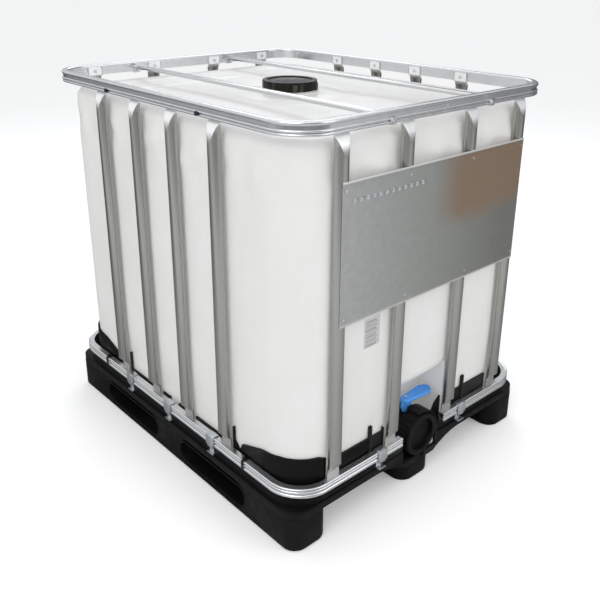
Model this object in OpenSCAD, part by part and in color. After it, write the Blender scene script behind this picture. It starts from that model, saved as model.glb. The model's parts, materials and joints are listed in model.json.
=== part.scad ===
// Intermediate bulk container: a blow-moulded bottle in a steel cage on a plastic pallet.
// +Z is up, the origin is on the floor under the middle of the pallet, and the valve faces -Y.

/* [Overall] */
// Width over the hold-down clips, along X
overall_w = 1000; // [980:1:1020]
// Length over the hold-down clips, along Y
overall_l = 1200; // [1180:1:1220]
// Height to the top of the cage
overall_h = 1130; // [1110:1:1160]

/* [Cage] */
// Height of the top ring's rolled tube
ring_h = 35; // [32:1:38]
// Height of the bottom ring's rolled tube
ring_low_h = 30; // [28:1:34]
// Depth of the rolled ring tube
ring_d = 20; // [20:1:22]
// Outer corner radius of the rings
ring_corner_r = 110; // [100:1:116]
// Underside of the bottom ring above the floor
ring_low_z = 152; // [150:1:156]
// Radius of the half-round pressed posts
post_r = 19.5; // [18:0.5:20]
// Sheet thickness of the posts
post_wall = 1.8; // [1.5:0.1:2.5]
// Distance of the inner posts on the short sides from the middle
post_short_in = 126; // [122:1:132]
// Distance of the outer posts on the short sides from the middle
post_short_out = 350; // [340:1:354]
// Distance of the inner posts on the long sides from the middle
post_long_in = 91; // [84:1:98]
// Distance of the outer posts on the long sides from the middle
post_long_out = 280; // [270:1:290]
// Distance of the two cross bars from the middle
bar_x = 195; // [185:1:215]
// Middle height of the cross bars
bar_z = 1112; // [1110:1:1114]

/* [Bottle] */
// Wall thickness of the bottle
bottle_wall = 2.5; // [2:0.1:4]
// Radius of the upright corners of the bottle
bottle_corner_r = 110; // [95:1:120]
// Radius of the bottle's shoulders
bottle_shoulder_r = 40; // [36:1:60]
// Top of the bottle above the floor
bottle_top_z = 1078; // [1070:1:1080]
// Half width of the valve niche
niche_half_w = 116; // [110:1:117]

/* [Pallet] */
// Underside of the deck, which is the height of the fork tunnels
deck_z = 100; // [100:1:102]
// Thickness of the deck plate
deck_t = 8; // [7:1:9]
// Width of the outer runners
runner_w = 131; // [120:1:140]
// Half width of the centre runner
centre_half_w = 67; // [60:1:72]
// Height of the top edge of the corner cradles
cradle_z = 245; // [230:1:250]
// Height of the upstand along the long sides
wall_z = 182; // [175:1:190]
// Near edge of the side fork windows from the middle
window_y0 = 65; // [60:1:75]
// Far edge of the side fork windows from the middle
window_y1 = 383; // [370:1:390]

/* [Valve and lids] */
// Height of the outlet axis
valve_z = 150; // [148:1:152]
// Radius of the outlet bore
outlet_r = 39; // [38:0.5:40]
// Outer radius of the outlet cap
outlet_cap_r = 65; // [63:1:66]
// Clear radius of the fill opening
fill_r = 72; // [70:1:74]
// Length of the valve lever from its axis
lever_len = 105; // [90:1:110]

/* [Hidden] */
$fn = 96;
hull_fn = 32;
slit = 0.02;

// Plan half sizes
ring_low_x = overall_w / 2 - 2.5;
ring_low_y = overall_l / 2 - 2.5;
ring_top_x = overall_w / 2 - 5.5;
ring_top_y = overall_l / 2 - 6.5;
skirt_x = overall_w / 2 - 2;
skirt_y = overall_l / 2 - 13;
bottle_x = overall_w / 2 - 36;
bottle_y = overall_l / 2 - 36;

// Heights
ring_top_z = overall_h - ring_h;
floor_z = deck_z + deck_t;
ledge_z = 121;
bay_z = 80;

// Ring tube section
bead_r = 6;
ridge_r = 3.5;
face_in = 4;
crest_in = face_in - ridge_r;
tube_wall = 2.5;
ring_gap_x = 92;

// Posts: the channel and its flattened ends
tab_t = 3;
post_back_x = overall_w / 2 - 0.5 - post_r;
post_back_y = overall_l / 2 - 2.8 - post_r;
tab_top_half = 25;
channel_z0 = 228;
channel_z1 = 1045;
tab_low_z0 = 158;
tab_low_z1 = 204;
tab_top_z0 = 1088;
tab_top_z1 = 1122;
rivet_low_z = ring_low_z + 17;
rivet_top_z = ring_top_z + 13;
rivet_r = 2.5;
rivet_head_r = 5;

// Marking plate on the front posts
plate_half_w = 361;
plate_z0 = 618;
plate_z1 = 983;
plate_t = 1;
plate_y = -(post_back_y + post_r);
plate_rivet_z = [640, 962];
plate_rivet_r = 2.2;

// Cross bars and their clamps
bar_w = 24;
bar_h = 12;
bar_end = 26;
clamp_t = 2;
bar_bolt_r = 3;
bar_bolt_z = ring_top_z + 7;
bar_plate_t = 3;

// Hold-down clips
clip_t = 2.5;
clip_long_y = [-225, 0, 225];
clip_short_x = [-178, 178];
clip_screw_z = 136;
recess_x = skirt_x - 8;
recess_y = skirt_y - 5;

// Hooks over the bottom ring, and guides between the posts of the short sides
hook_y = 377;
hook_w = 6;
hook_t = 2.5;
guide_x = 205;

// Valve stations along -Y
niche_y = -476;
stub_end_y = -500;
disc_y = -522;
spigot_end_y = -572;
stub_r = 43;
body_r = 47;
spigot_r = 50;
flange_r = 52;
nut_r = 60;
seat_r = 36.9;
disc_r = 36.6;
seat_pocket_r = outlet_r + 1;
seat_half = 9;
stem_r = 5;
hub_r = 12;
hub_z0 = valve_z + body_r + 1.5;
paddle_z0 = 232;
paddle_t = 12;
paddle_r = 17;

// Fill opening
neck_wall = 6;
neck_top_z = bottle_top_z + 26;
lid_r = 83;
lid_skirt_z = 1086;
lid_top_z = 1114;
gasket_t = 2.5;

// Top ring trim
side_bolt_y = 226;
joint_rivet_x = [-20, 15];
joint_rivet_z = ring_top_z + 19;
joint_rivet_r = 2;
side_bolt_z = ring_top_z + 7.5;

// ---- shared shapes ----

module rounded_rect(hx, hy, r) {
    square([2 * (hx - r), 2 * hy], center = true);
    square([2 * hx, 2 * (hy - r)], center = true);
    for (sx = [-1, 1], sy = [-1, 1]) translate([sx * (hx - r), sy * (hy - r)]) circle(r);
}

module rounded_slab(hx, hy, r, z0, z1) {
    translate([0, 0, z0]) linear_extrude(z1 - z0) rounded_rect(hx, hy, r);
}

module tube(r_out, r_in, h) {
    difference() {
        cylinder(r = r_out, h = h);
        translate([0, 0, -1]) cylinder(r = r_in, h = h + 2);
    }
}

// Puts a shape drawn along +Z onto the outlet axis, pointing out along -Y from station y
module on_outlet(y) {
    translate([0, y, valve_z]) rotate([90, 0, 0]) children();
}

// Turns a shape that points out along +X to face one side of the container
module facing(side) {
    turn = side == "right" ? 0 : side == "rear" ? 90 : side == "left" ? 180 : 270;
    rotate(turn) children();
}

function along(side, n, d_in, d_out) =
    let (run = [-d_out, -d_in, d_in, d_out])
    (side == "left" || side == "rear") ? -run[n - 1] : run[n - 1];

// ---- rings ----

module ring_section(h, flip) {
    translate([0, flip ? h : 0]) mirror([0, flip ? 1 : 0]) difference() {
        union() {
            translate([-ring_d, 1]) square([ring_d - face_in, h - bead_r - 1]);
            translate([-bead_r, h - bead_r]) circle(bead_r);
            translate([-ring_d + bead_r, h - bead_r]) circle(bead_r);
            translate([-ring_d + bead_r, h - 2 * bead_r]) square([ring_d - 2 * bead_r, 2 * bead_r]);
            translate([-face_in, ridge_r]) circle(ridge_r);
            translate([-face_in, 3.3 * ridge_r]) circle(ridge_r);
        }
        translate([-ring_d + tube_wall, 1 + tube_wall])
            square([ring_d - face_in - 2 * tube_wall, h - bead_r - 2 * tube_wall - 1]);
    }
}

module ring_run(length, h, flip) {
    rotate([90, 0, 0]) translate([0, 0, -length / 2]) linear_extrude(length) ring_section(h, flip);
}

module ring_loop(hx, hy, h, flip) {
    r = ring_corner_r;
    for (side = [0, 180]) rotate(side) {
        translate([hx, 0, 0]) ring_run(2 * (hy - r), h, flip);
        rotate(90) translate([hy, 0, 0]) ring_run(2 * (hx - r), h, flip);
        translate([hx - r, hy - r, 0]) rotate_extrude(angle = 90) translate([r, 0]) ring_section(h, flip);
        translate([-hx + r, hy - r, 0]) rotate(90) rotate_extrude(angle = 90)
            translate([r, 0]) ring_section(h, flip);
    }
}

// Holes for the rivets of all posts, through the inner wall of a ring
module post_rivet_holes(hx, hy, z) {
    hole = rivet_r + 0.1;
    for (side = [0, 180]) rotate(side) {
        for (y = [-post_long_out, -post_long_in, post_long_in, post_long_out])
            translate([hx - ring_d - 1, y, z]) rotate([0, 90, 0]) cylinder(r = hole, h = 5);
        for (y = [-post_short_out, -post_short_in, post_short_in, post_short_out])
            rotate(90) translate([hy - ring_d - 1, y, z]) rotate([0, 90, 0]) cylinder(r = hole, h = 5);
    }
}

module top_ring() {
    color("silver") difference() {
        translate([0, 0, ring_top_z]) ring_loop(ring_top_x, ring_top_y, ring_h, false);
        post_rivet_holes(ring_top_x, ring_top_y, rivet_top_z);
        for (sx = [-1, 1], side = [0, 180]) rotate(side)
            translate([sx * bar_x, -ring_top_y - 1, bar_bolt_z]) rotate([-90, 0, 0])
            cylinder(r = bar_bolt_r + 0.2, h = ring_d + 2);
        for (x = joint_rivet_x) translate([x, -ring_top_y - 1, joint_rivet_z]) rotate([-90, 0, 0])
            cylinder(r = joint_rivet_r + 0.1, h = 9);
        for (side = [0, 180], sy = [-1, 1]) rotate(side)
            translate([ring_top_x - 9, sy * side_bolt_y, side_bolt_z]) rotate([0, 90, 0])
            cylinder(r = bar_bolt_r + 0.1, h = 10);
    }
}

module bottom_ring() {
    color("silver") difference() {
        translate([0, 0, ring_low_z]) ring_loop(ring_low_x, ring_low_y, ring_low_h, true);
        translate([-ring_gap_x, -overall_l, 0]) cube([2 * ring_gap_x, overall_l / 2 + 100, overall_h]);
        post_rivet_holes(ring_low_x, ring_low_y, rivet_low_z);
    }
}

// ---- posts ----

// One post: a half-round channel with flattened ends, its back at x = 0 and its crest at x = post_r
module post_shape(tab_low, tab_top, plated) {
    difference() {
        union() {
            translate([0, 0, channel_z0]) linear_extrude(channel_z1 - channel_z0)
                difference() {
                    circle(post_r);
                    circle(post_r - post_wall);
                    translate([-2 * post_r, -post_r]) square([2 * post_r, 2 * post_r]);
                }
            post_end(channel_z0, tab_low_z1, tab_low, post_r);
            post_end(channel_z1, tab_top_z0, tab_top, tab_top_half);
            translate([tab_low, -post_r, tab_low_z0]) cube([tab_t, 2 * post_r, tab_low_z1 - tab_low_z0]);
            translate([tab_top, -tab_top_half, tab_top_z0])
                cube([tab_t, 2 * tab_top_half, tab_top_z1 - tab_top_z0]);
        }
        translate([tab_low - 1, 0, rivet_low_z]) rotate([0, 90, 0]) cylinder(r = rivet_r + 0.1, h = 5);
        translate([tab_top - 1, 0, rivet_top_z]) rotate([0, 90, 0]) cylinder(r = rivet_r + 0.1, h = 5);
        if (plated) for (z = plate_rivet_z)
            translate([post_r - 5, 0, z]) rotate([0, 90, 0]) cylinder(r = plate_rivet_r + 0.1, h = 8);
    }
}

// The pressed transition from the channel at z_channel to the flat tab at z_tab
module post_end(z_channel, z_tab, tab_x, half_w) {
    hull() {
        translate([0, 0, z_channel - slit / 2]) linear_extrude(slit) intersection() {
            circle(post_r, $fn = hull_fn);
            translate([0, -post_r]) square([post_r, 2 * post_r]);
        }
        translate([tab_x, -half_w, z_tab - slit / 2]) cube([tab_t, 2 * half_w, slit]);
    }
}

module post_long(side, n) {
    color("gainsboro") facing(side)
        translate([post_back_x, along(side, n, post_long_in, post_long_out), 0])
        post_shape(ring_low_x - ring_d - tab_t - post_back_x, ring_top_x - ring_d - tab_t - post_back_x, false);
}

module post_short(side, n) {
    color("gainsboro") facing(side)
        translate([post_back_y, along(side, n, post_short_in, post_short_out), 0])
        post_shape(ring_low_y - ring_d - tab_t - post_back_y, ring_top_y - ring_d - tab_t - post_back_y,
            side == "front");
}

// ---- cage fittings ----

module cross_bar(x) {
    color("silver") translate([x, 0, 0]) {
        rotate([90, 0, 0]) translate([0, bar_z, -(ring_top_y - ring_d - bar_end)])
            linear_extrude(2 * (ring_top_y - ring_d - bar_end)) difference() {
                bar_outline(0);
                bar_outline(1.6);
            }
        for (side = [0, 180]) rotate(side) {
            translate([-bar_w / 2, ring_top_y - ring_d - bar_end, bar_z - bar_plate_t / 2])
                cube([bar_w, bar_end, bar_plate_t]);
            difference() {
                translate([-bar_w / 2, ring_top_y - ring_d - tab_t, bar_bolt_z - 10])
                    cube([bar_w, tab_t, bar_z + bar_plate_t / 2 - bar_bolt_z + 10]);
                translate([0, ring_top_y - ring_d - tab_t - 1, bar_bolt_z]) rotate([-90, 0, 0])
                    cylinder(r = bar_bolt_r + 0.2, h = tab_t + 2);
            }
        }
    }
}

// Flat-sided tube section, drawn with its wall taken off by inset
module bar_outline(inset) {
    r = bar_h / 2 - inset;
    square([bar_w - bar_h, 2 * r], center = true);
    for (sx = [-1, 1]) translate([sx * (bar_w - bar_h) / 2, 0]) circle(r);
}

// A strap that hooks under the top ring's outer edge, under each cross bar bolt
module bar_clamps() {
    color("gainsboro") for (sx = [-1, 1], side = [0, 180]) rotate(side)
        translate([sx * bar_x, -ring_top_y + crest_in, 0]) difference() {
            union() {
                translate([-10, -clamp_t, ring_top_z - clamp_t]) cube([20, clamp_t, 18]);
                translate([-10, -clamp_t, ring_top_z - clamp_t]) cube([20, 12, clamp_t]);
            }
            translate([0, -clamp_t - 1, bar_bolt_z]) rotate([-90, 0, 0])
                cylinder(r = bar_bolt_r + 0.2, h = clamp_t + 2);
        }
}

module bar_bolts() {
    color("whitesmoke") for (sx = [-1, 1], side = [0, 180]) rotate(side)
        translate([sx * bar_x, -ring_top_y + crest_in - clamp_t, bar_bolt_z]) rotate([-90, 0, 0]) {
            translate([0, 0, -4]) cylinder(r = 6.5, h = 4, $fn = 6);
            cylinder(r = bar_bolt_r, h = clamp_t + ring_d + tab_t + 9);
        }
}

module bar_nuts() {
    color("whitesmoke") for (sx = [-1, 1], side = [0, 180]) rotate(side)
        translate([sx * bar_x, -ring_top_y + ring_d + tab_t, bar_bolt_z]) rotate([-90, 0, 0])
        difference() {
            cylinder(r = 6.5, h = 5, $fn = 6);
            translate([0, 0, -1]) cylinder(r = bar_bolt_r, h = 7);
        }
}

// Rivets that fix the post tabs to the inner wall of one ring
module post_rivets(hx, hy, z) {
    color("silver") for (side = [0, 180]) rotate(side) {
        for (y = [-post_long_out, -post_long_in, post_long_in, post_long_out])
            translate([hx - ring_d - tab_t, y, z]) one_rivet();
        for (y = [-post_short_out, -post_short_in, post_short_in, post_short_out])
            rotate(90) translate([hy - ring_d - tab_t, y, z]) one_rivet();
    }
}

module one_rivet() {
    rotate([0, 90, 0]) {
        translate([0, 0, -1.5]) cylinder(r = rivet_head_r, h = 1.5);
        cylinder(r = rivet_r, h = tab_t + tube_wall + 1);
    }
}

// Two rivets at the butt joint of the top ring
module top_ring_rivets() {
    color("whitesmoke") for (x = joint_rivet_x)
        translate([x, -ring_top_y + face_in, joint_rivet_z]) rotate([90, 0, 0]) {
            cylinder(r = joint_rivet_r + 1.5, h = 1.5);
            translate([0, 0, -5]) cylinder(r = joint_rivet_r, h = 5);
        }
}

// Dark bolt heads on the long sides of the top ring
module side_bolts() {
    color("dimgray") for (side = [0, 180], sy = [-1, 1]) rotate(side)
        translate([ring_top_x - crest_in, sy * side_bolt_y, side_bolt_z]) rotate([0, 90, 0]) {
            cylinder(r = 6.5, h = 4, $fn = 6);
            translate([0, 0, -8]) cylinder(r = bar_bolt_r, h = 8);
        }
}

module marking_plate() {
    color("silver") difference() {
        union() {
            translate([-plate_half_w, plate_y - plate_t, plate_z0])
                cube([2 * plate_half_w, plate_t, plate_z1 - plate_z0]);
            for (z = [plate_z0, plate_z1 - 12])
                translate([-plate_half_w, plate_y - 2 * plate_t, z]) cube([2 * plate_half_w, plate_t, 12]);
        }
        for (sx = [-1, 1], x = [post_short_in, post_short_out], z = plate_rivet_z)
            translate([sx * x, plate_y + 1, z]) rotate([90, 0, 0]) cylinder(r = plate_rivet_r + 0.1, h = 4);
    }
}

module plate_rivets() {
    color("gray") for (sx = [-1, 1], x = [post_short_in, post_short_out], z = plate_rivet_z)
        translate([sx * x, plate_y - plate_t, z]) rotate([90, 0, 0]) {
            cylinder(r = 4.5, h = 1.6);
            translate([0, 0, -5]) cylinder(r = plate_rivet_r, h = 5);
        }
}

// ---- hold-down clips ----

// One clip, outward along +X: over the ring, down its face, and in to the pallet wall at wall_x
module clip_shape(ring_x, wall_x) {
    ring_top = ring_low_z + ring_low_h;
    difference() {
        union() {
            translate([ring_x - ring_d, -17, ring_top]) cube([ring_d + clip_t, 34, clip_t]);
            translate([ring_x, -17, ring_low_z]) cube([clip_t, 34, ring_low_h + clip_t]);
            translate([ring_x, -10, ring_low_z - clip_t]) cube([clip_t, 20, clip_t]);
            translate([wall_x, -10, ring_low_z - 2 * clip_t]) cube([ring_x + clip_t - wall_x, 20, clip_t]);
            translate([wall_x, -10, ledge_z + 4]) cube([clip_t, 20, ring_low_z - ledge_z - 4 - clip_t]);
            translate([wall_x, -14, ledge_z + 4]) cube([ring_x + clip_t - wall_x, 28, clip_t]);
        }
        translate([wall_x - 1, 0, clip_screw_z]) rotate([0, 90, 0]) cylinder(r = 2.7, h = clip_t + 2);
    }
}

module clip_long(side, n) {
    color("gainsboro") facing(side)
        translate([0, (side == "left" ? -1 : 1) * clip_long_y[n - 1], 0]) clip_shape(ring_low_x, recess_x);
}

module clip_short(side, n) {
    color("gainsboro") facing(side)
        translate([0, (side == "rear" ? -1 : 1) * clip_short_x[n - 1], 0]) clip_shape(ring_low_y, recess_y);
}

// Screws from the clips into the pallet wall
module clip_screws() {
    color("whitesmoke") for (side = [0, 180]) rotate(side) {
        for (y = clip_long_y) translate([recess_x + clip_t, y, clip_screw_z]) one_screw();
        for (y = clip_short_x) rotate(90) translate([recess_y + clip_t, y, clip_screw_z]) one_screw();
    }
}

module one_screw() {
    rotate([0, 90, 0]) {
        cylinder(r = 4.5, h = 2.4);
        translate([0, 0, -10]) cylinder(r = 2.5, h = 10);
    }
}

module clip_screw_holes() {
    for (side = [0, 180]) rotate(side) {
        for (y = clip_long_y)
            translate([recess_x - 8, y, clip_screw_z]) rotate([0, 90, 0]) cylinder(r = 2.5, h = 9);
        for (y = clip_short_x) rotate(90)
            translate([recess_y - 8, y, clip_screw_z]) rotate([0, 90, 0]) cylinder(r = 2.5, h = 9);
    }
}

// ---- pallet ----

// The upstand wall's outline seen from a long side: low in the middle, rising to the corner cradles
module cradle_profile_long() {
    hy = skirt_y + 10;
    translate([-skirt_x - 10, 0, 0]) rotate([90, 0, 90]) linear_extrude(2 * skirt_x + 20)
        difference() {
            union() {
                translate([-hy, floor_z - 1]) square([2 * hy, wall_z - floor_z + 1]);
                for (m = [0, 1]) mirror([m, 0])
                    polygon([[300, floor_z], [300, 208], [326, wall_z], [331, wall_z - 6], [342, 204],
                        [425, cradle_z - 13], [490, cradle_z - 3], [hy, cradle_z], [hy, floor_z]]);
            }
            translate([-24, ring_low_z]) square([48, cradle_z]);
        }
}

// The same outline seen from a short side
module cradle_profile_short() {
    hx = skirt_x + 10;
    translate([0, skirt_y + 10, 0]) rotate([90, 0, 0]) linear_extrude(2 * skirt_y + 20)
        polygon([[-hx, floor_z - 1], [hx, floor_z - 1], [hx, cradle_z], [390, cradle_z],
            [340, 222], [-340, 222], [-390, cradle_z], [-hx, cradle_z]]);
}

module upstand() {
    inner_x = bottle_x + 1.5;
    inner_y = bottle_y + 1.5;
    intersection() {
        difference() {
            rounded_slab(inner_x + 6, inner_y + 6, bottle_corner_r + 7.5, floor_z - 1, cradle_z);
            rounded_slab(inner_x, inner_y, bottle_corner_r + 1.5, floor_z - 2, cradle_z + 1);
        }
        cradle_profile_long();
        cradle_profile_short();
    }
}

// Clearance for every post through the upstand wall
module post_notches() {
    notch_w = 2 * post_r + 12;
    for (side = [0, 180]) rotate(side) {
        for (y = [-post_long_out, -post_long_in, post_long_in, post_long_out])
            translate([bottle_x + 1, y - notch_w / 2, ring_low_z]) cube([14, notch_w, cradle_z]);
        for (y = [-post_short_out, -post_short_in, post_short_in, post_short_out])
            rotate(90) translate([bottle_y + 1, y - notch_w / 2, ring_low_z]) cube([14, notch_w, cradle_z]);
    }
}

// Thin guides that stand beside the posts, and one between them on each short side
module post_guides() {
    near = post_r + 6;
    for (side = [0, 180]) rotate(side) {
        for (y = [-post_long_out, post_long_out], s = [-1, 1])
            translate([bottle_x + 3, y + s * (near + 2) - 2, ring_low_z]) cube([8, 4, cradle_z - ring_low_z]);
        for (x = [-post_short_in, post_short_in], s = [-1, 1]) rotate(90)
            translate([bottle_y + 3, x + s * (near + 2) - 2, ring_low_z]) cube([8, 4, cradle_z - ring_low_z - 10]);
        for (x = [-guide_x, guide_x]) rotate(90)
            translate([bottle_y + 3, x - 5, ring_low_z]) cube([8, 10, cradle_z + 15 - ring_low_z]);
    }
}

// Narrow hooks from the upstand over the top of the bottom ring and down its outer face
module ring_hooks() {
    ring_top = ring_low_z + ring_low_h;
    for (side = [0, 180], sy = [-1, 1]) rotate(side) translate([0, sy * hook_y - hook_w / 2, 0]) {
        translate([bottle_x + 3, 0, ring_top]) cube([skirt_x + 2 - bottle_x - 3, hook_w, hook_t]);
        translate([ring_low_x, 0, ring_low_z + 3]) cube([hook_t, hook_w, ring_low_h + hook_t - 3]);
        translate([ring_low_x - 12, 0, ring_top]) cube([10, hook_w, 9]);
    }
}

// The curved guard over the top and right side of the outlet cap, with a wing behind it
module outlet_guard() {
    guard_in = outlet_cap_r + 4.5;
    guard_out = guard_in + 4.5;
    back_y = -540;
    depth = skirt_y + back_y;
    on_outlet(back_y) intersection() {
        tube(guard_out, guard_in, depth);
        translate([-14, 0, -1]) cube([2 * guard_out, 2 * guard_out, depth + 2]);
    }
    translate([guard_in, -skirt_y, deck_z]) cube([11, depth, valve_z - deck_z]);
    translate([0, -556, 0]) rotate([90, 0, 0]) linear_extrude(6)
        polygon([[guard_in, deck_z], [niche_half_w - 3, deck_z], [niche_half_w - 3, 222],
            [92, 206], [80, 186], [guard_in, valve_z]]);
}

// Curved fillets between the front edge and the centre runner
module front_gussets() {
    reach = 190;
    r = 228;
    intersection() {
        for (sx = [-1, 1]) translate([0, -skirt_y + 12, 0]) rotate([90, 0, 0]) linear_extrude(12)
            mirror([sx < 0 ? 1 : 0, 0]) difference() {
                translate([20, 62]) square([reach - 20, deck_z - 61]);
                translate([reach, deck_z - r]) circle(r);
            }
        difference() {
            translate([-reach, -skirt_y, 0]) cube([2 * reach, 12, overall_h]);
            rounded_slab(centre_half_w + 0.3, skirt_y - 4.7, 44.3, -1, overall_h);
        }
    }
}

module pallet_deck() {
    ring_seat_in_x = bottle_x + 7.5;
    ring_seat_in_y = bottle_y + 7.5;
    color("#1c1d1c") {
        difference() {
            union() {
                rounded_slab(skirt_x, skirt_y, 48, deck_z, ledge_z);
                rounded_slab(recess_x, recess_y, 100, ledge_z - 1, ring_low_z);
                upstand();
                post_guides();
                front_gussets();
            }
            rounded_slab(bottle_x + 1.5, bottle_y + 1.5, bottle_corner_r + 1.5, floor_z, overall_h);
            post_notches();
            clip_screw_holes();
            translate([-75, -skirt_y - 1, bay_z]) cube([150, skirt_y + niche_y + 3, overall_h]);
            translate([-niche_half_w, -skirt_y - 1, ring_low_z])
                cube([2 * niche_half_w, skirt_y + niche_y + 3, overall_h]);
        }
        outlet_guard();
        ring_hooks();
    }
}

// Fork windows through an outer runner, with rounded corners
module side_windows() {
    mid_y = (window_y0 + window_y1) / 2;
    half = (window_y1 - window_y0) / 2;
    for (sy = [-1, 1]) translate([-overall_w, sy * mid_y, 56]) rotate([90, 0, 90])
        linear_extrude(2 * overall_w) rounded_rect(half, 42, 38);
}

module runner_left() {
    mid_x = -skirt_x + runner_w / 2;
    half_w = runner_w / 2;
    block_end = skirt_y - window_y1;
    color("#1c1d1c") difference() {
        translate([mid_x, 0, 0]) runner_slab(half_w, skirt_y, deck_z);
        side_windows();
        for (sy = [-1, 1]) translate([mid_x, sy * (window_y1 + block_end / 2 + 3), 0])
            rounded_slab(half_w - 6, block_end / 2 - 9, 34, 6, deck_z + 1);
        translate([mid_x, 0, 0]) rounded_slab(half_w - 6, window_y0 - 6, 10, 6, deck_z + 1);
    }
}

// A runner's outer body, with its bottom edges stepped in for the floor contact
module runner_slab(half_w, half_l, h) {
    rounded_slab(half_w, half_l, 44, 5, h);
    rounded_slab(half_w - 4, half_l - 4, 40, 0, 5);
}

module runner_right() {
    rotate(180) runner_left();
}

module runner_centre() {
    color("#1c1d1c") difference() {
        runner_slab(centre_half_w, skirt_y - 5, deck_z);
        translate([-centre_half_w - 1, -skirt_y - 1, bay_z])
            cube([2 * centre_half_w + 2, skirt_y + niche_y + 3, deck_z]);
        for (y = [-230, 40, 310]) translate([0, y, 0])
            rounded_slab(centre_half_w - 6, 125, 30, 6, deck_z + 1);
        translate([0, -465, 0]) rounded_slab(centre_half_w - 6, 90, 34, 6, bay_z - 6);
        translate([0, 505, 0]) rounded_slab(centre_half_w - 6, 60, 34, 6, deck_z + 1);
    }
}

// ---- bottle ----

// The bottle's solid outline, with its surface moved in by inset
module bottle_solid(inset) {
    shoulder = bottle_shoulder_r - inset;
    foot = 30 - inset;
    hull() for (sx = [-1, 1], sy = [-1, 1])
        translate([sx * (bottle_x - bottle_corner_r), sy * (bottle_y - bottle_corner_r), 0])
        rotate_extrude($fn = hull_fn) {
            translate([bottle_corner_r - bottle_shoulder_r, bottle_top_z - bottle_shoulder_r])
                intersection() {
                    circle(shoulder, $fn = hull_fn);
                    square(shoulder);
                }
            translate([bottle_corner_r - 30, floor_z + 30]) intersection() {
                circle(foot, $fn = hull_fn);
                translate([0, -foot]) square(foot);
            }
        }
}

// The recess for the valve in the lower front wall, grown outwards by grow
module niche(grow) {
    half = niche_half_w + grow;
    translate([half, 0, 0]) rotate([0, -90, 0]) linear_extrude(2 * half)
        polygon([[floor_z - 50, niche_y + grow], [250 + grow, niche_y + grow],
            [335 + 1.4 * grow, -bottle_y], [335 + 1.4 * grow, -bottle_y - 40], [floor_z - 50, -bottle_y - 40]]);
}

module bottle() {
    color("#eeeeea") {
        difference() {
            bottle_solid(0);
            niche(0);
            difference() {
                bottle_solid(bottle_wall);
                niche(bottle_wall);
            }
            translate([0, 0, bottle_top_z - 20]) cylinder(r = fill_r + 2, h = 30);
            on_outlet(niche_y + 10) cylinder(r = outlet_r, h = 20);
        }
        on_outlet(niche_y + 1) tube(stub_r, outlet_r, niche_y + 1 - stub_end_y);
    }
}

module fill_neck() {
    color("#e4e4df") translate([0, 0, bottle_top_z]) difference() {
        union() {
            cylinder(r = fill_r + neck_wall, h = neck_top_z - bottle_top_z);
            cylinder(r = fill_r + neck_wall + 12, h = 3);
        }
        translate([0, 0, -1]) cylinder(r = fill_r, h = neck_top_z - bottle_top_z + 2);
    }
}

module barcode_label() {
    color("lightgray") translate([-249, -bottle_y - 0.6, 500]) cube([60, 0.6, 98]);
}

// ---- valve ----

module valve_union_nut() {
    color("#202020") on_outlet(stub_end_y + 16) difference() {
        union() {
            cylinder(r = nut_r, h = 25);
            for (a = [0 : 30 : 330]) rotate(a) translate([nut_r - 1, -4, 2]) cube([3, 8, 20]);
        }
        translate([0, 0, -1]) cylinder(r = stub_r + 0.3, h = 40);
        translate([0, 0, 15.7]) cylinder(r = flange_r + 0.3, h = 6.6);
        translate([0, 0, 15.7]) cylinder(r = body_r + 0.3, h = 20);
    }
}

module valve_body() {
    color("#242424") difference() {
        union() {
            on_outlet(stub_end_y) cylinder(r = flange_r, h = 6);
            on_outlet(stub_end_y) cylinder(r = body_r, h = stub_end_y - spigot_end_y);
            on_outlet(-548) cylinder(r = spigot_r, h = -548 - spigot_end_y);
        }
        on_outlet(disc_y - seat_half + 1) cylinder(r = outlet_r, h = disc_y - seat_half - spigot_end_y + 2);
        on_outlet(stub_end_y + 1) cylinder(r = seat_pocket_r, h = stub_end_y + 1 - disc_y + seat_half);
        translate([0, disc_y, valve_z]) cylinder(r = stem_r + 0.2, h = 60);
    }
}

module valve_seat() {
    color("#3a3a3a") difference() {
        on_outlet(disc_y + seat_half) tube(seat_pocket_r, seat_r, 2 * seat_half);
        translate([0, disc_y, valve_z]) cylinder(r = stem_r + 0.2, h = 60);
    }
}

module valve_disc() {
    color("#4a4a4a") difference() {
        union() {
            on_outlet(disc_y + 3) cylinder(r = disc_r, h = 6);
            translate([0, disc_y, valve_z - 32]) cylinder(r = stem_r + 3, h = 64);
        }
        translate([0, disc_y, valve_z - 33]) cylinder(r = stem_r, h = 90);
    }
}

module valve_stem() {
    color("silver") difference() {
        translate([0, disc_y, valve_z - 31]) cylinder(r = stem_r, h = paddle_z0 + 4 - valve_z + 31);
        translate([0, disc_y, paddle_z0 - 14]) cylinder(r = 2.5, h = 30);
    }
}

module valve_lever() {
    top = paddle_z0 + paddle_t;
    color("#2f7fe0") translate([0, disc_y, 0]) difference() {
        union() {
            translate([0, 0, hub_z0]) cylinder(r = hub_r, h = paddle_z0 - hub_z0 + 1);
            translate([0, 0, paddle_z0]) linear_extrude(paddle_t) {
                circle(paddle_r);
                translate([lever_len - paddle_r, 0]) circle(paddle_r);
                translate([0, -paddle_r]) square([lever_len - paddle_r, 2 * paddle_r]);
            }
        }
        translate([30, 0, top - 3]) linear_extrude(4) {
            translate([lever_len - paddle_r - 30, 0]) circle(paddle_r - 4);
            translate([0, -paddle_r + 4]) square([lever_len - paddle_r - 30, 2 * paddle_r - 8]);
        }
        translate([0, 0, hub_z0 - 1]) cylinder(r = stem_r, h = paddle_z0 + 5 - hub_z0);
        translate([0, 0, paddle_z0]) cylinder(r = 2.5, h = paddle_t + 1);
    }
}

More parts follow.
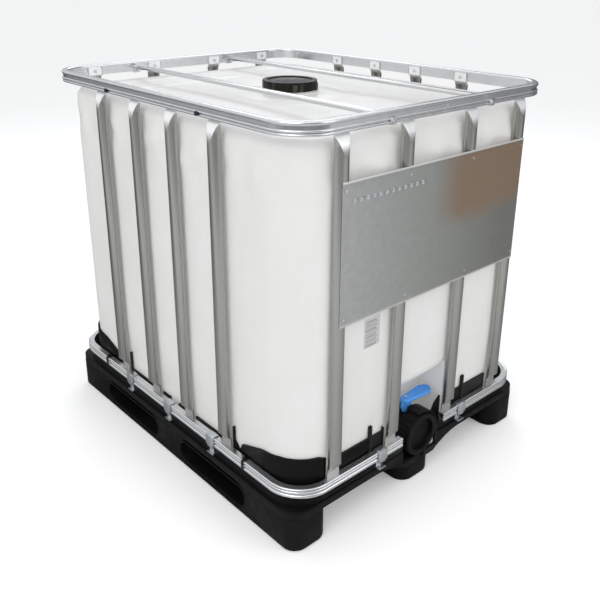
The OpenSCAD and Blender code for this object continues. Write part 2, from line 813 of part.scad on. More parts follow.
module lever_screw() {
    color("silver") translate([0, disc_y, paddle_z0 + paddle_t]) {
        cylinder(r = 5.5, h = 3.5, $fn = 6);
        translate([0, 0, -paddle_t - 12]) cylinder(r = 2.5, h = paddle_t + 12);
    }
}

// Screw cap of the outlet: grip ribs round the rim and a deep round recess in front
module outlet_cap() {
    back_y = -540;
    wall_y = spigot_end_y - 2;
    front_y = -590;
    color("#1f1f1f") on_outlet(back_y) difference() {
        union() {
            cylinder(r = outlet_cap_r, h = back_y - front_y);
            for (a = [0 : 15 : 345]) rotate(a) translate([outlet_cap_r - 1, -2.5, 3]) cube([3, 5, 40]);
        }
        translate([0, 0, -1]) cylinder(r = spigot_r + 0.8, h = back_y - wall_y + 1);
        translate([0, 0, back_y - wall_y + 4]) cylinder(r = spigot_r, h = 40);
    }
}

module outlet_gasket() {
    color("#555555") on_outlet(spigot_end_y) tube(spigot_r - 1, outlet_r + 1, 2);
}

// ---- fill lid ----

module fill_cap() {
    plate_z = neck_top_z + gasket_t;
    color("#3a3733") difference() {
        union() {
            translate([0, 0, lid_skirt_z]) cylinder(r = lid_r, h = lid_top_z - lid_skirt_z);
            for (a = [0 : 60 : 300]) rotate(a)
                translate([lid_r - 2, -7, lid_skirt_z]) cube([6.5, 14, lid_top_z - lid_skirt_z - 6]);
        }
        translate([0, 0, lid_skirt_z - 1]) cylinder(r = fill_r + neck_wall + 1.2, h = plate_z - lid_skirt_z + 1);
        translate([0, 0, plate_z + 4]) cylinder(r = lid_r - 14, h = 20);
        for (a = [0 : 60 : 300], side = [-1, 1]) rotate(a + 12 * side)
            translate([lid_r - 1.6, -3, lid_skirt_z - 1]) cube([4, 6, lid_top_z - lid_skirt_z - 5]);
    }
}

module fill_gasket() {
    color("#666666") translate([0, 0, neck_top_z]) tube(fill_r + neck_wall, fill_r + 2, gasket_t);
}

pallet_deck();
runner_left();
runner_centre();
runner_right();
bottle();
fill_neck();
top_ring();
bottom_ring();
post_long("left", 1);  // post_left_1
post_long("left", 2);  // post_left_2
post_long("left", 3);  // post_left_3
post_long("left", 4);  // post_left_4
post_long("right", 1);  // post_right_1
post_long("right", 2);  // post_right_2
post_long("right", 3);  // post_right_3
post_long("right", 4);  // post_right_4
post_short("front", 1);  // post_front_1
post_short("front", 2);  // post_front_2
post_short("front", 3);  // post_front_3
post_short("front", 4);  // post_front_4
post_short("rear", 1);  // post_rear_1
post_short("rear", 2);  // post_rear_2
post_short("rear", 3);  // post_rear_3
post_short("rear", 4);  // post_rear_4
cross_bar(-bar_x);  // cross_bar_left
cross_bar(bar_x);  // cross_bar_right
bar_clamps();
bar_bolts();
bar_nuts();
post_rivets(ring_top_x, ring_top_y, rivet_top_z);  // post_rivets_top
post_rivets(ring_low_x, ring_low_y, rivet_low_z);  // post_rivets_bottom
top_ring_rivets();
side_bolts();
marking_plate();
plate_rivets();
barcode_label();
clip_long("left", 1);  // clip_left_1
clip_long("left", 2);  // clip_left_2
clip_long("left", 3);  // clip_left_3
clip_long("right", 1);  // clip_right_1
clip_long("right", 2);  // clip_right_2
clip_long("right", 3);  // clip_right_3
clip_short("front", 1);  // clip_front_1
clip_short("front", 2);  // clip_front_2
clip_short("rear", 1);  // clip_rear_1
clip_short("rear", 2);  // clip_rear_2
clip_screws();
valve_union_nut();
valve_body();
valve_seat();
valve_disc();
valve_stem();
valve_lever();
lever_screw();
outlet_cap();
outlet_gasket();
fill_cap();
fill_gasket();
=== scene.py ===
"""Looks of the intermediate bulk container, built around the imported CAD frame. Metres, +Z up."""

import json
import math

import bmesh
import bpy
import numpy as np
from mathutils import Matrix, Vector


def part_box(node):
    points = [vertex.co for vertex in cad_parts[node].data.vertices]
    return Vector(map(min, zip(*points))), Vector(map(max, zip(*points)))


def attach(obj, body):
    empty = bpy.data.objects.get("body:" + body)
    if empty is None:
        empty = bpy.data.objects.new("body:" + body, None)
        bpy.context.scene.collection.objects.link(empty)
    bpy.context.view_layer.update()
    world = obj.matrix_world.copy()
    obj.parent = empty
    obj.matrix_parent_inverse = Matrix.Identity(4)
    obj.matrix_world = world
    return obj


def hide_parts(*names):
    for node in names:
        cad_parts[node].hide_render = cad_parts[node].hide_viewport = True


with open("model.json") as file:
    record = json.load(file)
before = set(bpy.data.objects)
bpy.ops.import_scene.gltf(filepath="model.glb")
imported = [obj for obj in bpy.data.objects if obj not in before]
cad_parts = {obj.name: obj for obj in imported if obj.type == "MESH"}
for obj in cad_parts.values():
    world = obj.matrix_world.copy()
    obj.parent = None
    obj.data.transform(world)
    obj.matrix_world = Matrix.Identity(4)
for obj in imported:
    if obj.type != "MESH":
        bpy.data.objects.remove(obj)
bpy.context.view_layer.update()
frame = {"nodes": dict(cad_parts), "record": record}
NODES = frame["nodes"]
MM = 0.001
BODY_OF = {n: body for body, names in frame["record"]["behaviour"]["bodies"].items() for n in names}
SLOT_OF = {p["node"]: p["material_slot"] for p in frame["record"]["subparts"]}

POST_SIDES = {"right": 0, "rear": 90, "left": 180, "front": 270}

# Matt surfaces and the camera see an even floor and sky. What gloss sees of them fades along a
# direction, as (start, end, value before, value after): metres on the floor, the ray's turn in the sky.
FLOOR_WHITE = 0.95
FLOOR_GLOW = 0.2
SKY_EVEN = 0.74
TO_CAMERA_SIDE = (-0.6, -0.8, 0)
TO_LEFT = (-0.95, -0.3, 0)
TO_LEFT_REAR = (-0.8, 0.6, 0)
UPWARDS = (0, 0, 1)
FLOOR_NEAR = (-1.0, 1.9, 0.14, 0.8)
FLOOR_LEFT = (1.2, 2.1, 0, 0.85)
FLOOR_BEYOND = (2.4, 3.5, 1, 0.5)
SKY_LEFT_REAR = (-0.6, 0.95, 0.18, 0.85)
SKY_OVERHEAD = (0.22, 0.7, 0, 1.1)


def linked(name, data):
    """A new object of some data, in the scene."""
    thing = bpy.data.objects.new(name, data)
    bpy.context.scene.collection.objects.link(thing)
    return thing


# ---- camera, floor and light ----

def look_frame(heading, pitch, roll):
    """Camera axes for a heading from +Y towards +X, a pitch down and a roll, in degrees."""
    a, e, r = (math.radians(v) for v in (heading, pitch, roll))
    forward = Vector((math.sin(a) * math.cos(e), math.cos(a) * math.cos(e), -math.sin(e)))
    level = Vector((math.cos(a), -math.sin(a), 0))
    over = level.cross(forward)
    right = level * math.cos(r) + over * math.sin(r)
    up = over * math.cos(r) - level * math.sin(r)
    return Matrix((right, up, -forward)).transposed()


def make_camera():
    """The photograph's viewing angle."""
    data = bpy.data.cameras.new("camera")
    data.sensor_width = 36
    data.lens = 44.73
    data.shift_x = -0.0046
    data.shift_y = -0.0978
    data.clip_end = 200
    camera = linked("camera", data)
    place = look_frame(41.91, 20.43, 0.33).to_4x4()
    place.translation = Vector((-1.50073, -1.73454, 1.44292))
    camera.matrix_world = place
    bpy.context.scene.camera = camera


def feed(tree, socket, value):
    """Gives a socket a plain number, or links another node's output to it."""
    if isinstance(value, (int, float)):
        socket.default_value = value
    else:
        tree.links.new(value, socket)


def joined(tree, operation, *values):
    """A math node of sockets and plain numbers."""
    node = tree.nodes.new("ShaderNodeMath")
    node.operation = operation
    for socket, value in zip(node.inputs, values):
        feed(tree, socket, value)
    return node.outputs[0]


def unless_gloss(tree, rays, usual, in_gloss):
    """The usual value for all rays but glossy ones, which get another."""
    choose = tree.nodes.new("ShaderNodeMix")
    tree.links.new(rays.outputs["Is Glossy Ray"], choose.inputs["Factor"])
    feed(tree, choose.inputs[2], usual)
    feed(tree, choose.inputs[3], in_gloss)
    return choose.outputs[0]


def side_fade(tree, place, direction, low, high, before, after):
    """Fades from one value to another with a place's distance, or a ray's turn, along a direction."""
    dot = tree.nodes.new("ShaderNodeVectorMath")
    dot.operation = "DOT_PRODUCT"
    dot.inputs[1].default_value = direction
    tree.links.new(place, dot.inputs[0])
    fade = tree.nodes.new("ShaderNodeMapRange")
    fade.interpolation_type = "SMOOTHSTEP"
    for socket, number in zip(("From Min", "From Max", "To Min", "To Max"), (low, high, before, after)):
        fade.inputs[socket].default_value = number
    tree.links.new(dot.outputs["Value"], fade.inputs["Value"])
    return fade.outputs["Result"]


def make_floor():
    """A pale plain floor, wide enough to meet the sky."""
    half = 60
    corners = [(-half, -half, 0), (half, -half, 0), (half, half, 0), (-half, half, 0)]
    mesh = bpy.data.meshes.new("floor")
    mesh.from_pydata(corners, [], [(0, 1, 2, 3)])
    floor = linked("floor", mesh)
    paint = bpy.data.materials.new("floor_paint")
    paint.use_nodes = True
    tree = paint.node_tree
    shader = tree.nodes["Principled BSDF"].inputs
    shader["Roughness"].default_value = 0.9
    shader["Specular IOR Level"].default_value = 0
    shader["Emission Color"].default_value = (1, 1, 1, 1)
    place = tree.nodes.new("ShaderNodeTexCoord").outputs["Object"]
    sides = joined(tree, "MAXIMUM", side_fade(tree, place, TO_CAMERA_SIDE, *FLOOR_NEAR),
                   side_fade(tree, place, TO_LEFT, *FLOOR_LEFT))
    in_gloss = joined(tree, "MULTIPLY", sides, side_fade(tree, place, TO_CAMERA_SIDE, *FLOOR_BEYOND))
    rays = tree.nodes.new("ShaderNodeLightPath")
    tree.links.new(unless_gloss(tree, rays, FLOOR_WHITE, in_gloss), shader["Base Color"])
    glow = joined(tree, "MULTIPLY", rays.outputs["Is Camera Ray"], FLOOR_GLOW)
    tree.links.new(glow, shader["Emission Strength"])
    mesh.materials.append(paint)


def area_light(name, place, target, size, power, colour=(1, 1, 1)):
    """A soft rectangular lamp that faces a target."""
    data = bpy.data.lights.new(name, "AREA")
    data.shape = "RECTANGLE"
    data.size, data.size_y = size
    data.energy = power
    data.color = colour
    light = linked(name, data)
    light.location = place
    light.rotation_euler = (Vector(target) - Vector(place)).to_track_quat("-Z", "Y").to_euler()


def studio_sky(tree):
    """Even light for matt surfaces and white to the camera; gloss sees it bright above and left rear."""
    ray = tree.nodes.new("ShaderNodeTexCoord").outputs["Generated"]
    in_gloss = joined(tree, "MAXIMUM", side_fade(tree, ray, TO_LEFT_REAR, *SKY_LEFT_REAR),
                      side_fade(tree, ray, UPWARDS, *SKY_OVERHEAD))
    rays = tree.nodes.new("ShaderNodeLightPath")
    even = joined(tree, "MULTIPLY_ADD", rays.outputs["Is Camera Ray"], 1 - SKY_EVEN, SKY_EVEN)
    strength = unless_gloss(tree, rays, even, in_gloss)
    tree.links.new(strength, tree.nodes["Background"].inputs["Strength"])


def make_light():
    world = bpy.data.worlds.new("studio")
    bpy.context.scene.world = world
    world.use_nodes = True
    world.node_tree.nodes["Background"].inputs["Color"].default_value = (0.98, 0.99, 1.0, 1)
    studio_sky(world.node_tree)
    middle = (0, 0, 0.55)
    area_light("key", (-3.4, -1.6, 3.4), middle, (3.0, 3.0), 62, (1, 0.99, 0.97))
    area_light("fill", (1.6, -4.2, 2.4), middle, (2.6, 2.2), 34)
    area_light("rim", (2.4, 3.0, 3.2), middle, (2.4, 1.4), 34, (0.93, 0.96, 1))
    bpy.context.scene.view_settings.view_transform = "Standard"


# ---- materials ----

EVEN = (1, 1, 1)
STEEL = 0.95
GLOSSY_COAT = 0.2


class Paint:
    """A Principled material with the texture nodes that its colour, roughness and bump come from."""

    def __init__(self, name, rough=0.5, metallic=0.0, specular=0.5, coat=0.0):
        self.material = bpy.data.materials.new(name)
        self.material.use_nodes = True
        self.tree = self.material.node_tree
        self.shader = self.tree.nodes["Principled BSDF"]
        self.set("Metallic", metallic)
        self.set("Roughness", rough)
        self.set("Specular IOR Level", specular)
        self.set("Coat Weight", coat)
        self.set("Coat Roughness", GLOSSY_COAT)
        self.coords = self.tree.nodes.new("ShaderNodeTexCoord").outputs["Object"]
        self.last_bump = None

    def set(self, socket, value):
        self.shader.inputs[socket].default_value = value

    def math(self, operation, *values):
        return joined(self.tree, operation, *values)

    def stretched(self, stretch):
        """The object's coordinates, scaled along each axis."""
        if stretch == EVEN:
            return self.coords
        node = self.tree.nodes.new("ShaderNodeMapping")
        node.inputs["Scale"].default_value = stretch
        self.tree.links.new(self.coords, node.inputs["Vector"])
        return node.outputs["Vector"]

    def noise(self, scale, detail, stretch=EVEN):
        node = self.tree.nodes.new("ShaderNodeTexNoise")
        node.inputs["Scale"].default_value = scale
        node.inputs["Detail"].default_value = detail
        node.inputs["Roughness"].default_value = 0.55
        self.tree.links.new(self.stretched(stretch), node.inputs["Vector"])
        return node.outputs["Fac"]

    def patches(self, scale, detail, stretch=EVEN, most=1):
        """Noise with more contrast, from 0 to most."""
        return self.spread(self.noise(scale, detail, stretch), 0.35, 0.7, 0, most)

    def geometry(self, output):
        return self.tree.nodes.new("ShaderNodeNewGeometry").outputs[output]

    def split(self, vector):
        """The X, Y and Z sockets of a vector socket."""
        node = self.tree.nodes.new("ShaderNodeSeparateXYZ")
        self.tree.links.new(vector, node.inputs["Vector"])
        return node.outputs

    def scuff_and_highlight_edges(self, low, high):
        """1 on outer edges sharper than high, 0 where the surface is flatter than low."""
        return self.spread(self.geometry("Pointiness"), low, high, 0, 1)

    def spread(self, value, low, high, to_low, to_high):
        """Maps a texture value from low..high onto to_low..to_high."""
        node = self.tree.nodes.new("ShaderNodeMapRange")
        limits = {"From Min": low, "From Max": high, "To Min": to_low, "To Max": to_high}
        for socket, number in limits.items():
            node.inputs[socket].default_value = number
        self.tree.links.new(value, node.inputs["Value"])
        return node.outputs["Result"]

    def mix(self, factor, first, second):
        """Mixes two colours, each a tuple or a socket."""
        node = self.tree.nodes.new("ShaderNodeMix")
        node.data_type = "RGBA"
        self.tree.links.new(factor, node.inputs["Factor"])
        for socket, colour in ((node.inputs[6], first), (node.inputs[7], second)):
            if isinstance(colour, tuple):
                socket.default_value = (*colour, 1)
            else:
                self.tree.links.new(colour, socket)
        return node.outputs[2]

    def colour(self, socket):
        self.tree.links.new(socket, self.shader.inputs["Base Color"])

    def roughness(self, socket):
        self.tree.links.new(socket, self.shader.inputs["Roughness"])

    def bump(self, height, distance, strength):
        """Adds a bump on top of those already there; distance is in metres."""
        node = self.tree.nodes.new("ShaderNodeBump")
        node.inputs["Distance"].default_value = distance
        node.inputs["Strength"].default_value = strength
        self.tree.links.new(height, node.inputs["Height"])
        if self.last_bump:
            self.tree.links.new(self.last_bump, node.inputs["Normal"])
        self.last_bump = node.outputs["Normal"]
        self.tree.links.new(self.last_bump, self.shader.inputs["Normal"])


def bottle_plastic():
    """Milky blown plastic: cloudy, faintly streaked upwards, with a fine grain; a faint painted glow
    stands in for light through its wall.
    """
    paint = Paint("bottle_plastic", rough=0.4, specular=0.45)
    streaks = paint.noise(14, 3, (1, 1, 0.12))
    base = paint.mix(paint.patches(3.5, 4), (0.72, 0.715, 0.695), (0.77, 0.77, 0.76))
    paint.colour(paint.mix(paint.spread(streaks, 0.45, 0.8, 0, 0.35), base, (0.67, 0.67, 0.655)))
    paint.roughness(paint.spread(paint.noise(30, 3), 0.3, 0.7, 0.33, 0.46))
    paint.bump(paint.noise(9, 3), 0.004, 0.5)
    paint.bump(paint.noise(420, 2), 0.0002, 0.5)
    paint.set("Subsurface Weight", 0.3)
    paint.set("Subsurface Radius", (0.045, 0.045, 0.04))
    paint.set("Subsurface Scale", 1.0)
    # Painted light: a faint even glow over the bottle, standing in for light coming through the plastic.
    paint.set("Emission Color", (0.95, 0.945, 0.92, 1))
    paint.set("Emission Strength", 0.1)
    return paint.material


def black_plastic(name, dark, pale, rough, grain):
    """Moulded black plastic with a fine grain, faint dust in patches and scuffed edges."""
    paint = Paint(name, rough=rough, specular=0.11)
    dust = paint.spread(paint.noise(7, 6), 0.5, 0.8, 0, 0.35)
    body = paint.mix(dust, dark, pale)
    scuff = tuple(min(1, 2.6 * c) for c in pale)
    paint.colour(paint.mix(paint.scuff_and_highlight_edges(0.53, 0.66), body, scuff))
    paint.roughness(paint.spread(paint.noise(38, 4), 0.3, 0.72, rough - 0.08, rough + 0.12))
    paint.bump(paint.noise(grain, 3), 0.0003, 0.5)
    paint.bump(paint.noise(22, 2), 0.0015, 0.3)
    return paint.material


def galvanised(name, cool, warm, rough):
    """Smooth zinc-coated steel with small differences of grey, and painted shade darkening its grooves.
    """
    paint = Paint(name, rough=rough, metallic=STEEL)
    steel = paint.mix(paint.patches(26, 3), cool, warm)
    # Painted shade: hollows, found by low pointiness, are darkened towards a shadowed grey.
    painted_groove_shade = tuple(0.3 * c for c in cool)
    grooves = paint.spread(paint.geometry("Pointiness"), 0.40, 0.49, 0.9, 0)
    paint.colour(paint.mix(grooves, steel, painted_groove_shade))
    paint.roughness(paint.spread(paint.noise(18, 2), 0.3, 0.7, rough - 0.01, rough + 0.03))
    paint.bump(paint.noise(40, 2), 0.00003, 0.08)
    return paint.material


def post_steel():
    """Pressed zinc-coated strip with marks drawn along it, with a painted highlight on its upturned top
    faces and flattened end.
    """
    paint = Paint("post_steel", rough=0.26, metallic=STEEL)
    along = (1, 1, 0.04)
    facets_from, flat_from, blend = 1.0, 1.082, 0.01
    strip = paint.mix(paint.patches(9, 2, along), (0.40, 0.40, 0.38), (0.435, 0.43, 0.41))
    height = paint.split(paint.coords)["Z"]
    # Painted highlight: near the top, faces tilted upwards and the flattened end are painted near white
    # and made less metallic, standing in for a sky reflection.
    tilt = paint.split(paint.geometry("Normal"))["Z"]
    upward_face_highlight = paint.math("MULTIPLY", paint.spread(tilt, 0.06, 0.3, 0, 1),
                        paint.spread(height, facets_from, facets_from + blend, 0, 1))
    painted_top_highlight = paint.math("MAXIMUM", upward_face_highlight, paint.spread(height, flat_from, flat_from + blend, 0, 1))
    paint.colour(paint.mix(painted_top_highlight, strip, (0.93, 0.94, 0.95)))
    paint.roughness(paint.spread(paint.noise(12, 2, along), 0.3, 0.7, 0.25, 0.29))
    paint.tree.links.new(paint.spread(painted_top_highlight, 0, 1, STEEL, 0.4), paint.shader.inputs["Metallic"])
    paint.bump(paint.noise(30, 2, along), 0.00003, 0.15)
    return paint.material


def plate_steel():
    """Dull zinc sheet, with a painted reflection darkening it towards +X, a brown patch high up and
    painted highlights on its hems.
    """
    paint = Paint("plate_steel", rough=0.42, metallic=0.62)
    place = paint.split(paint.coords)
    cloud = paint.noise(6, 4)

    def ragged(axis, low, high):
        """Rises from 0 to 1 along an axis, with a cloudy edge."""
        return paint.spread(paint.math("MULTIPLY_ADD", cloud, 0.09, place[axis]), low, high, 0, 1)

    patch = paint.math("MULTIPLY", ragged("X", 0.02, 0.13), ragged("Z", 0.82, 0.88))
    # Painted reflection: the sheet is painted darker towards +X.
    across = paint.spread(place["X"], -0.34, 0.3, 0, 1)
    grey = paint.mix(across, (0.46, 0.475, 0.465), (0.21, 0.215, 0.195))
    fine = paint.mix(paint.patches(45, 4, most=0.3), grey, (0.30, 0.305, 0.29))
    brown_patched = paint.mix(patch, fine, (0.30, 0.215, 0.155))
    # Painted highlight: a light band along the top and bottom hems.
    low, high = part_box("marking_plate")
    from_middle = paint.math("ABSOLUTE", paint.math("SUBTRACT", place["Z"], (low.z + high.z) / 2))
    half = (high.z - low.z) / 2
    hem = paint.spread(from_middle, half - 6.5 * MM, half - 3 * MM, 0, 1)
    paint.colour(paint.mix(hem, brown_patched, (0.66, 0.67, 0.66)))
    paint.roughness(paint.spread(paint.noise(60, 4), 0.3, 0.7, 0.38, 0.52))
    paint.bump(paint.noise(9, 2), 0.002, 0.3)
    return paint.material


def label_paper():
    paint = Paint("label_paper", rough=0.5)
    paint.colour(paint.mix(paint.patches(160, 3), (0.55, 0.555, 0.56), (0.61, 0.615, 0.62)))
    paint.bump(paint.noise(300, 2), 0.0001, 0.4)
    return paint.material


def label_ink():
    paint = Paint("label_ink", rough=0.45)
    paint.colour(paint.mix(paint.noise(90, 3), (0.30, 0.305, 0.31), (0.37, 0.375, 0.38)))
    return paint.material


def blue_plastic():
    paint = Paint("lever_plastic", rough=0.36, coat=0.15)
    base = paint.mix(paint.patches(24, 3), (0.065, 0.33, 0.92), (0.085, 0.38, 0.98))
    # Painted highlight: the lever's sharp edges are painted a lighter blue.
    paint.colour(paint.mix(paint.scuff_and_highlight_edges(0.53, 0.64), base, (0.20, 0.50, 1.0)))
    paint.bump(paint.noise(500, 2), 0.0002, 0.5)
    return paint.material


def grey_disc():
    paint = Paint("disc_plastic", rough=0.5)
    paint.colour(paint.mix(paint.noise(40, 3), (0.27, 0.27, 0.28), (0.34, 0.34, 0.35)))
    paint.bump(paint.noise(380, 2), 0.0002, 0.5)
    return paint.material


def seal_rubber():
    paint = Paint("seal_rubber", rough=0.72, specular=0.3)
    paint.colour(paint.mix(paint.noise(70, 3), (0.05, 0.05, 0.05), (0.09, 0.09, 0.088)))
    paint.bump(paint.noise(600, 2), 0.0002, 0.6)
    return paint.material


def make_paints():
    """Every material, by the name of its slot; label_ink is the only one without a slot."""
    paints = {name: black_plastic(name, *values) for name, values in {
        "pallet_plastic": ((0.0042, 0.0045, 0.0042), (0.0095, 0.0098, 0.009), 0.42, 260),
        "valve_plastic": ((0.0035, 0.0038, 0.0035), (0.007, 0.0072, 0.0068), 0.36, 380),
        "lid_plastic": ((0.009, 0.009, 0.0075), (0.022, 0.021, 0.018), 0.36, 320),
        "dark_steel": ((0.012, 0.015, 0.025), (0.03, 0.034, 0.05), 0.36, 300),
    }.items()}
    paints.update({name: galvanised(name, *values) for name, values in {
        "ring_steel": ((0.70, 0.71, 0.73), (0.74, 0.745, 0.755), 0.24),
        "clip_steel": ((0.60, 0.64, 0.68), (0.70, 0.72, 0.74), 0.28),
        "fastener_steel": ((0.62, 0.63, 0.65), (0.72, 0.72, 0.72), 0.24),
    }.items()})
    paints.update({
        "bottle_plastic": bottle_plastic(),
        "post_steel": post_steel(),
        "plate_steel": plate_steel(),
        "label_paper": label_paper(),
        "label_ink": label_ink(),
        "disc_plastic": grey_disc(),
        "seal_rubber": seal_rubber(),
        "lever_plastic": blue_plastic(),
    })
    return paints


# ---- mesh helpers ----

def add_piece(name, points, faces, slot, sharp, body="root", replaced=(), paint=None):
    """Makes one piece from points and faces; its paint is its slot's unless another is named."""
    mesh = bpy.data.meshes.new(name)
    mesh.from_pydata([tuple(map(float, p)) for p in points], [], [tuple(map(int, f)) for f in faces])
    piece = linked(name, mesh)
    finish_piece(piece, slot, body, replaced, sharp, paint)
    return piece


def finish_piece(piece, slot, body, replaced, sharp, paint=None):
    """Turns the faces outwards, smooths edges below sharp degrees, paints the piece and places it."""
    tidy = bmesh.new()
    tidy.from_mesh(piece.data)
    bmesh.ops.recalc_face_normals(tidy, faces=tidy.faces)
    tidy.to_mesh(piece.data)
    tidy.free()
    piece.data.polygons.foreach_set("use_smooth", [True] * len(piece.data.polygons))
    piece.data.set_sharp_from_angle(angle=math.radians(sharp))
    piece.data.materials.append(PAINTS[paint or slot])
    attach(piece, body)
    if replaced:
        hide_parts(*replaced)


def grid_faces(rows, columns, round_rows=False, round_columns=False, start=0):
    """Quads of a grid of points that may close on itself either way."""
    return [
        (start + i * columns + j, start + i * columns + (j + 1) % columns,
         start + (i + 1) % rows * columns + (j + 1) % columns, start + (i + 1) % rows * columns + j)
        for i in range(rows if round_rows else rows - 1)
        for j in range(columns if round_columns else columns - 1)
    ]


def slab_faces(rows, columns, start=0):
    """Faces of a thin slab: its outer grid of points, the same grid of its inner side, and the rims."""
    size = rows * columns
    faces = grid_faces(rows, columns, start=start)
    faces += [f[::-1] for f in grid_faces(rows, columns, start=start + size)]
    rims = [(i * columns + j, (i + 1) * columns + j) for i in range(rows - 1) for j in (0, columns - 1)]
    rims += [(i * columns + j, i * columns + j + 1) for i in (0, rows - 1) for j in range(columns - 1)]
    return faces + [(start + a, start + b, start + size + b, start + size + a) for a, b in rims]


def smooth(value):
    """0 below 0, 1 above 1, and an S curve between."""
    t = np.clip(value, 0, 1)
    return t * t * (3 - 2 * t)


def apply_modifiers(piece):
    """Puts the modifiers' result in the piece's own mesh."""
    bpy.context.view_layer.update()
    baked = bpy.data.meshes.new_from_object(piece.evaluated_get(bpy.context.evaluated_depsgraph_get()))
    old = piece.data
    piece.modifiers.clear()
    piece.data = baked
    baked.name = old.name
    bpy.data.meshes.remove(old)


def rounded_copy(node, width):
    """Stands for a CAD node: its own shape, with its sharp edges rounded."""
    piece = linked(f"{node}_moulded", NODES[node].data.copy())
    piece.data.name = piece.name
    work = bmesh.new()
    work.from_mesh(piece.data)
    bmesh.ops.remove_doubles(work, verts=work.verts, dist=0.02 * MM)
    flat = math.radians(1.5)
    bmesh.ops.dissolve_limit(work, angle_limit=flat, verts=work.verts, edges=work.edges)
    work.to_mesh(piece.data)
    work.free()
    piece.data.materials.clear()
    bevel = piece.modifiers.new("rounding", "BEVEL")
    bevel.width = width
    bevel.segments = 2
    bevel.limit_method = "ANGLE"
    bevel.angle_limit = math.radians(32)
    apply_modifiers(piece)
    finish_piece(piece, SLOT_OF[node], BODY_OF[node], [node], 30)


# ---- bottle ----

BOTTLE_LOW, BOTTLE_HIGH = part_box("bottle")
VALVE_LOW, VALVE_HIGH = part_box("valve_body")
OUTLET_Z = (VALVE_LOW.z + VALVE_HIGH.z) / 2
HALF_X = BOTTLE_HIGH.x
HALF_Y = BOTTLE_HIGH.y
FLOOR_Z = BOTTLE_LOW.z
TOP_Z = BOTTLE_HIGH.z
CORNER = 110 * MM
SHOULDER = 32 * MM
FOOT = 30 * MM
WALL = 2.5 * MM
NICHE_HALF = 116 * MM
NICHE_Y = -476 * MM
NICHE_FLAT_Z = 250 * MM
NICHE_TOP_Z = 360 * MM
FILL_R = 72 * MM
STUB_R, STUB_BORE = 43 * MM, 39 * MM
STUB_END_Y = -500 * MM
BULGE, END_BULGE, PUCKER, SWELL = 12 * MM, 7 * MM, 6.5 * MM, 0.8 * MM
TOP_SWELL, COLLAR_DIP = 2.2 * MM, 2.5 * MM
POSTS_X = [-350 * MM, -126 * MM, 126 * MM, 350 * MM]
POSTS_Y = [-280 * MM, -91 * MM, 91 * MM, 280 * MM]


def outline_stations(step):
    """Distances round the bottle from the middle of its front, closer together at the niche's sides."""
    niche_side = [NICHE_HALF + d * MM for d in (-9, -4, -1.5, 1.5, 4, 9)]
    straight_x, side_length = HALF_X - CORNER, 2 * (HALF_Y - CORNER)
    arc = CORNER * math.pi / 2
    front = [v for v in np.arange(0, straight_x, step) if abs(v - NICHE_HALF) > 12 * MM]
    corner = list(straight_x + np.linspace(0, arc, 26))
    side = list(straight_x + arc + np.arange(step, side_length - step / 2, step))
    corner_back = [straight_x + arc + side_length + v for v in np.linspace(0, arc, 26)]
    rear_start = corner_back[-1]
    rear = list(rear_start + np.arange(step, straight_x - step / 2, step)) + [rear_start + straight_x]
    half = sorted(front + niche_side) + corner + side + corner_back + rear
    total = 2 * (rear_start + straight_x)
    return np.array(half + [total - v for v in half[-2:0:-1]])


def outline_point(station, inset):
    """Point and outward normal on the bottle's plan at a station, moved in by inset."""
    straight_x, straight_y = HALF_X - CORNER, HALF_Y - CORNER
    arc = CORNER * math.pi / 2
    lengths = [straight_x, arc, 2 * straight_y, arc, 2 * straight_x, arc, 2 * straight_y, arc]
    centres = {1: (straight_x, -straight_y, -90), 3: (straight_x, straight_y, 0),
               5: (-straight_x, straight_y, 90), 7: (-straight_x, -straight_y, 180)}
    index, left = 0, station
    while index < len(lengths) and left > lengths[index]:
        left -= lengths[index]
        index += 1
    if index in centres:
        cx, cy, start = centres[index]
        turn = math.radians(start) + left / CORNER
        nx, ny = math.cos(turn), math.sin(turn)
        return cx + (CORNER - inset) * nx, cy + (CORNER - inset) * ny, nx, ny
    return {
        0: (left, -HALF_Y + inset, 0, -1),
        2: (HALF_X - inset, -straight_y + left, 1, 0),
        4: (straight_x - left, HALF_Y - inset, 0, 1),
        6: (-HALF_X + inset, straight_y - left, -1, 0),
        8: (-straight_x + left, -HALF_Y + inset, 0, -1),
    }[index]


def bulge(x, y, nx, ny, z):
    """How far the blown wall stands out between the posts, with the creases near its shoulders."""
    across, posts, half = (y, POSTS_Y, HALF_Y) if abs(nx) > 0.5 else (x, POSTS_X, HALF_X)
    flat = abs(nx) ** 8 + abs(ny) ** 8
    stops = [-(half - CORNER * 0.4), *posts, half - CORNER * 0.4]
    rise = 0.0
    for a, b in zip(stops, stops[1:]):
        if a < across < b:
            t = (across - a) / (b - a)
            at_end = a == stops[0] or b == stops[-1]
            rise = (END_BULGE if at_end else BULGE) * (1 - abs(2 * t - 1) ** 2.6)
    up = smooth((z - 0.20) / 0.16) * smooth((TOP_Z - 0.02 - z) / 0.07)
    rise *= float(up) * flat
    near_top = math.exp(-((z - (TOP_Z - 0.095)) / 0.045) ** 2)
    pucker = PUCKER * near_top * math.sin(across * 41 + 26 * z) * math.cos(across * 17 - 31 * z)
    swell = SWELL * math.sin(across * 11 + z * 5) * math.sin(z * 7.3 + across * 3)
    return rise + (pucker + swell * float(up)) * flat


def niche_depth(x, z):
    """How far the front wall steps in round the valve."""
    if z >= NICHE_TOP_Z:
        return 0.0
    full = NICHE_Y + HALF_Y
    slope = float(smooth((NICHE_TOP_Z - z) / (NICHE_TOP_Z - NICHE_FLAT_Z)))
    side = smooth((NICHE_HALF + 1.5 * MM - abs(x)) / (3 * MM))
    return full * slope * float(side)


